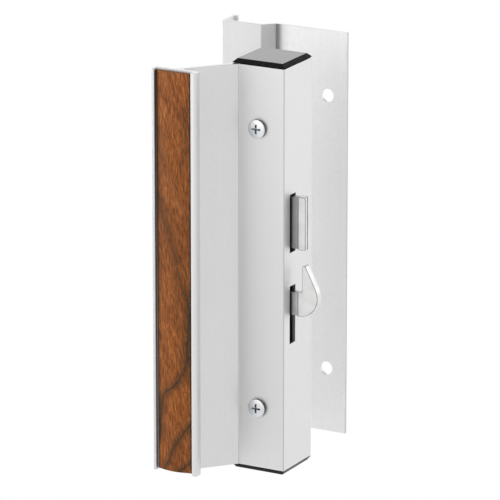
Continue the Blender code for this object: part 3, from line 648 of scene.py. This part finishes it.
# Mounting screws.
# Zinc-plated machine screws with cross-recessed pan heads. The thread is rolled and runs up to
# the head, and the screws pass through the tube toward the outside pull.
def plated(name, colour, roughness, streak, fine):
    """Plated steel: base colour with faint clouds, roughness in streaks, and fine scratches."""
    metal = bpy.data.materials.new(name)
    metal.use_nodes = True
    nodes = metal.node_tree.nodes
    link = metal.node_tree.links.new
    shader = nodes["Principled BSDF"]
    shader.inputs["Metallic"].default_value = 1.0
    place = nodes.new("ShaderNodeTexCoord")
    stretch = nodes.new("ShaderNodeMapping")
    stretch.inputs["Scale"].default_value = streak
    lines = nodes.new("ShaderNodeTexNoise")
    lines.inputs["Scale"].default_value = fine
    lines.inputs["Detail"].default_value = 3
    cloud = nodes.new("ShaderNodeTexNoise")
    cloud.inputs["Scale"].default_value = 180
    cloud.inputs["Detail"].default_value = 3
    tone = nodes.new("ShaderNodeValToRGB")
    tone.color_ramp.elements[0].position = 0.3
    tone.color_ramp.elements[0].color = (*[c * 0.9 for c in colour], 1)
    tone.color_ramp.elements[1].position = 0.7
    tone.color_ramp.elements[1].color = (*[min(1, c * 1.06) for c in colour], 1)
    gloss = nodes.new("ShaderNodeMapRange")
    gloss.inputs["To Min"].default_value = roughness - 0.07
    gloss.inputs["To Max"].default_value = roughness + 0.09
    skin = nodes.new("ShaderNodeBump")
    skin.inputs["Strength"].default_value = 0.15
    skin.inputs["Distance"].default_value = 0.00003
    link(place.outputs["Object"], stretch.inputs["Vector"])
    link(stretch.outputs["Vector"], lines.inputs["Vector"])
    link(place.outputs["Object"], cloud.inputs["Vector"])
    link(cloud.outputs["Fac"], tone.inputs["Fac"])
    link(tone.outputs["Color"], shader.inputs["Base Color"])
    link(lines.outputs["Fac"], gloss.inputs["Value"])
    link(gloss.outputs["Result"], shader.inputs["Roughness"])
    link(lines.outputs["Fac"], skin.inputs["Height"])
    link(skin.outputs["Normal"], shader.inputs["Normal"])
    return metal


zinc = plated("zinc_plate", (0.82, 0.83, 0.84), 0.42, (1, 1, 1), 900)


def machine_screw(node, core, crest, pitch, start, end):
    """Pan head with a tapered cross recess, a smooth shank and one rolled ridge wound on it."""
    low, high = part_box(node)
    middle = (low.z + high.z) / 2
    head_radius, head_height, dome_height = 0.0041, 0.0018, 0.0005
    ball = (head_radius**2 + dome_height**2) / (2 * dome_height)

    def dome(radius):
        """How far the domed face lies behind its middle, at a radius."""
        return ball - math.sqrt(ball**2 - radius**2)

    shape = bmesh.new()
    half, arm = 0.0021, 0.00046
    cross = []
    for turn in range(4):
        way = Matrix.Rotation(math.tau * turn / 4, 3, "Y")
        for corner in ((half, 0, -arm), (half, 0, arm), (arm, 0, arm)):
            cross.append(shape.verts.new(way @ Vector(corner)))
    outline = sorted(cross, key=lambda spot: math.atan2(spot.co.z, spot.co.x))
    rims = [shape.edges.new((outline[i], outline[(i + 1) % 12])) for i in range(12)]
    bmesh.ops.subdivide_edges(shape, edges=rims, cuts=3)
    lip = shape.verts[:]
    recess_rim = shape.edges[:]
    for spot in lip:
        spot.co.y = dome(math.hypot(spot.co.x, spot.co.z))
    for depth, share in ((0.0007, 0.8), (0.0012, 0.5)):
        grown = bmesh.ops.extrude_edge_only(shape, edges=recess_rim)
        moved = [item for item in grown["geom"] if isinstance(item, bmesh.types.BMVert)]
        recess_rim = [
            item
            for item in grown["geom"]
            if isinstance(item, bmesh.types.BMEdge) and item.is_boundary
        ]
        for spot in moved:
            spot.co = Vector((spot.co.x * share, depth, spot.co.z * share))
    bmesh.ops.holes_fill(shape, edges=recess_rim, sides=0)
    recess = shape.faces[:]
    ring_radius = 0.0027
    ring = bmesh.ops.create_circle(
        shape, segments=48, radius=ring_radius, matrix=Matrix.Rotation(math.pi / 2, 4, "X")
    )["verts"]
    for spot in ring:
        spot.co.y = dome(ring_radius)
    ring_rim = list({item for spot in ring for item in spot.link_edges})
    lip_rim = [item for item in shape.edges if item.is_boundary and item.verts[0] in lip]
    bmesh.ops.bridge_loops(shape, edges=ring_rim + lip_rim)
    shank_end = head_height + end - start + 0.0012
    tip = 0.0006
    outer = ring_rim
    for radius, depth in (
        (0.0033, dome(0.0033)),
        (0.0038, dome(0.0038)),
        (head_radius - 0.00006, 0.00053),
        (head_radius, 0.00068),
        (head_radius, head_height - 0.0002),
        (head_radius - 0.00012, head_height),
        (core, head_height),
        (core, shank_end),
        (core - tip, shank_end + tip),
    ):
        grown = bmesh.ops.extrude_edge_only(shape, edges=outer)
        for spot in grown["geom"]:
            if isinstance(spot, bmesh.types.BMVert):
                flat = Vector((spot.co.x, 0, spot.co.z)).normalized() * radius
                spot.co = Vector((flat.x, depth, flat.z))
        outer = [
            item
            for item in grown["geom"]
            if isinstance(item, bmesh.types.BMEdge) and item.is_boundary
        ]
    bmesh.ops.holes_fill(shape, edges=outer, sides=0)
    bmesh.ops.translate(shape, verts=shape.verts, vec=(0, low.y, middle))
    root = core - 0.0001
    profile = [
        shape.verts.new((root, start, middle)),
        shape.verts.new((crest - 0.00003, start + pitch * 0.45, middle)),
        shape.verts.new((root, start + pitch * 0.9, middle)),
    ]
    rim = [shape.edges.new((profile[i], profile[(i + 1) % 3])) for i in range(3)]
    turns = int((end - start) / pitch) - 1
    turn_steps = 16
    wound = bmesh.ops.spin(
        shape,
        geom=profile + rim,
        cent=(0, 0, middle),
        axis=(0, 1, 0),
        dvec=(0, pitch / turn_steps, 0),
        angle=math.tau * turns,
        steps=turn_steps * turns,
        use_merge=False,
    )
    tail = [item for item in wound["geom_last"] if isinstance(item, bmesh.types.BMVert)]
    shape.faces.new(profile)
    shape.faces.new(tail)
    # Recess faces take painted shade, and the side of the head a darker painted shade.
    for face in shape.faces:
        spot = face.calc_center_median()
        on_side = math.hypot(spot.x, spot.z - middle) > head_radius - 0.00015
        face.material_index = 1 if face in recess else 2 if on_side else 0
    bmesh.ops.recalc_face_normals(shape, faces=shape.faces)
    return shape


# Painted shade: a grey for the cross recess and a dark grey for the side of the head.
painted_recess_shade = plated("painted_recess_shade", (0.34, 0.38, 0.42), 0.4, (1, 1, 1), 900)
painted_head_side_shade = plated("painted_head_side_shade", (0.16, 0.16, 0.17), 0.4, (1, 1, 1), 900)
for screw_name, screw_node in (
    ("upper_screw", "upper_mounting_screw"),
    ("lower_screw", "lower_mounting_screw"),
):
    screw_shape = machine_screw(
        screw_node, core=0.00205, crest=0.0024, pitch=0.0008, start=-0.0230, end=0.0180
    )
    set_piece(
        screw_shape,
        screw_name,
        "housing",
        [zinc, painted_recess_shade, painted_head_side_shade],
        [screw_node],
    )

# Thumb lever and hook.
# Two stamped and satin-plated flat pieces, thicker outside the tube, that swing on pins behind
# the slots. The plating has painted shade near the slot and painted shade lines along its
# edges.
# Both plate finishes are painted darker toward the slot, a painted reflection of the tube's
# side; the edge finish paints dark lines of shade along the bevels.
satin = plated("satin_plate", (0.78, 0.78, 0.775), 0.34, (1, 1, 0.15), 1500)
painted_edge_shade = plated("painted_edge_shade", (0.14, 0.14, 0.14), 0.45, (1, 1, 1), 1500)
paint_shade_along(satin, 12, 20, [(12, 0.3), (20, 1.0), (13, 0.46), (15.4, 0.74), (16.6, 1.0)])
lever_satin = plated("lever_plate", (0.78, 0.78, 0.775), 0.34, (1, 1, 0.15), 1500)
paint_shade_along(lever_satin, 12, 20, [(12, 0.25), (20, 1.0), (13, 0.38), (16.0, 0.56), (16.6, 0.97)])
lever_shape = worked_copy("thumb_lever", 0.00018, edge_finish=1)
hook_shape = worked_copy("latch_hook", 0.0002, edge_finish=1)
# The upright edges near the slot keep the first finish, without the painted edge shade.
plain_reach = 0.0046
for plate_shape in (lever_shape, hook_shape):
    for face in plate_shape.faces:
        near_slot = face.calc_center_median().x < tube_high.x + plain_reach
        if near_slot and abs(face.normal.z) < 0.5:
            face.material_index = 0
set_piece(
    lever_shape,
    "lever_plate",
    "thumb_lever",
    [lever_satin, painted_edge_shade],
    ["thumb_lever"],
)
set_piece(hook_shape, "hook_plate", "latch_hook", [satin, painted_edge_shade], ["latch_hook"])

# Latch frame and link bar.
# Galvanised sheet steel: a channel that slides into the tube with the pivots in it, and the
# flat bar that hangs from the lever and turns the hook by its fork.
galvanised = plated("galvanised_steel", (0.58, 0.60, 0.61), 0.36, (1, 1, 1), 500)
frame_shape = worked_copy("latch_frame", 0.0001)
set_piece(frame_shape, "latch_channel", "housing", [galvanised], ["latch_frame"])
bar_shape = worked_copy("link_bar", 0.00012)
set_piece(bar_shape, "link_plate", "link_bar", [galvanised], ["link_bar"])

# Pins, sleeves, rivets and small screws.
# Turned steel: two pivot pins, four spacer sleeves, two rivets, the spring's stud, and the two
# countersunk screws of the frame.
turned_steel = plated("turned_steel", (0.66, 0.67, 0.68), 0.28, (1, 0.1, 1), 1200)
for small_name, small_node, small_body, small_finish, small_slot in (
    ("lever_pin", "lever_pivot_pin", "housing", turned_steel, "frame_steel"),
    ("hook_pin", "hook_pivot_pin", "housing", turned_steel, "frame_steel"),
    ("lever_sleeve_front", "lever_front_spacer", "housing", zinc, "zinc_plate"),
    ("lever_sleeve_rear", "lever_rear_spacer", "housing", zinc, "zinc_plate"),
    ("hook_sleeve_front", "hook_front_spacer", "housing", zinc, "zinc_plate"),
    ("hook_sleeve_rear", "hook_rear_spacer", "housing", zinc, "zinc_plate"),
    ("lever_rivet", "lever_link_rivet", "thumb_lever", turned_steel, "frame_steel"),
    ("hook_rivet", "hook_link_rivet", "latch_hook", turned_steel, "frame_steel"),
    ("spring_stud", "spring_anchor_pin", "housing", turned_steel, "frame_steel"),
    ("upper_fixing", "upper_frame_screw", "housing", zinc, "zinc_plate"),
    ("lower_fixing", "lower_frame_screw", "housing", zinc, "zinc_plate"),
):
    small_shape = worked_copy(small_node, 0.00008, least=25)
    set_piece(small_shape, small_name, small_body, [small_finish], [small_node])

# Return spring.
# Drawn spring wire wound in one piece: a loop on the bar's post, the coil, and a loop on the
# frame's stud.
wire = plated("spring_wire", (0.62, 0.62, 0.63), 0.22, (1, 1, 1), 900)
spring_low, spring_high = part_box("return_spring")
spring_x = (spring_low.x + spring_high.x) / 2
spring_y = (spring_low.y + spring_high.y) / 2
wire_radius = 0.00024
loop_radius = 0.00145
coil_radius = 0.00175
loop_inset = loop_radius + 0.00025
post_z = spring_high.z - loop_inset
stud_z = spring_low.z + loop_inset
lead = 0.0013
lead_turns, lead_steps = 0.5, 10
coil_turns, coil_steps = 12.5, 300
loop_turns, loop_steps = 320 / 360, 28
spring_shape = bmesh.new()
# The wire's round section starts the upper loop, at its open end.
start_turn = math.radians(-50)
outward = Vector((math.cos(start_turn), 0, math.sin(start_turn)))
section = Matrix(
    (
        (outward.x, 0, -outward.z, spring_x + loop_radius * outward.x),
        (0, 1, 0, spring_y),
        (outward.z, 0, outward.x, post_z + loop_radius * outward.z),
        (0, 0, 0, 1),
    )
)
bmesh.ops.create_circle(spring_shape, segments=10, radius=wire_radius, matrix=section)
reach = post_z - stud_z - 2 * loop_radius - 2 * lead
open_end = spring_shape.edges[:]
for centre, axis, turns, steps, drop in (
    ((spring_x, spring_y, post_z), (0, -1, 0), loop_turns, loop_steps, 0),
    ((spring_x, spring_y + coil_radius / 2, 0), (0, 0, 1), lead_turns, lead_steps, lead),
    ((spring_x, spring_y, 0), (0, 0, 1), coil_turns, coil_steps, reach),
    ((spring_x, spring_y - coil_radius / 2, 0), (0, 0, 1), lead_turns, lead_steps, lead),
    ((spring_x, spring_y, stud_z), (0, -1, 0), loop_turns, loop_steps, 0),
):
    wound = bmesh.ops.spin(
        spring_shape,
        geom=open_end + list({spot for rim in open_end for spot in rim.verts}),
        cent=centre,
        axis=axis,
        dvec=(0, 0, -drop / steps),
        angle=math.tau * turns,
        steps=steps,
        use_merge=False,
    )
    open_end = [item for item in wound["geom_last"] if isinstance(item, bmesh.types.BMEdge)]
bmesh.ops.holes_fill(
    spring_shape, edges=[rim for rim in spring_shape.edges if rim.is_boundary], sides=0
)
bmesh.ops.recalc_face_normals(spring_shape, faces=spring_shape.faces)
spring_mesh = bpy.data.meshes.new("coil_spring")
spring_shape.to_mesh(spring_mesh)
spring_shape.free()
spring_mesh.shade_smooth()
spring_mesh.materials.append(wire)
spring = bpy.data.objects.new("coil_spring", spring_mesh)
scene.collection.objects.link(spring)
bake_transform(spring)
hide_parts("return_spring")
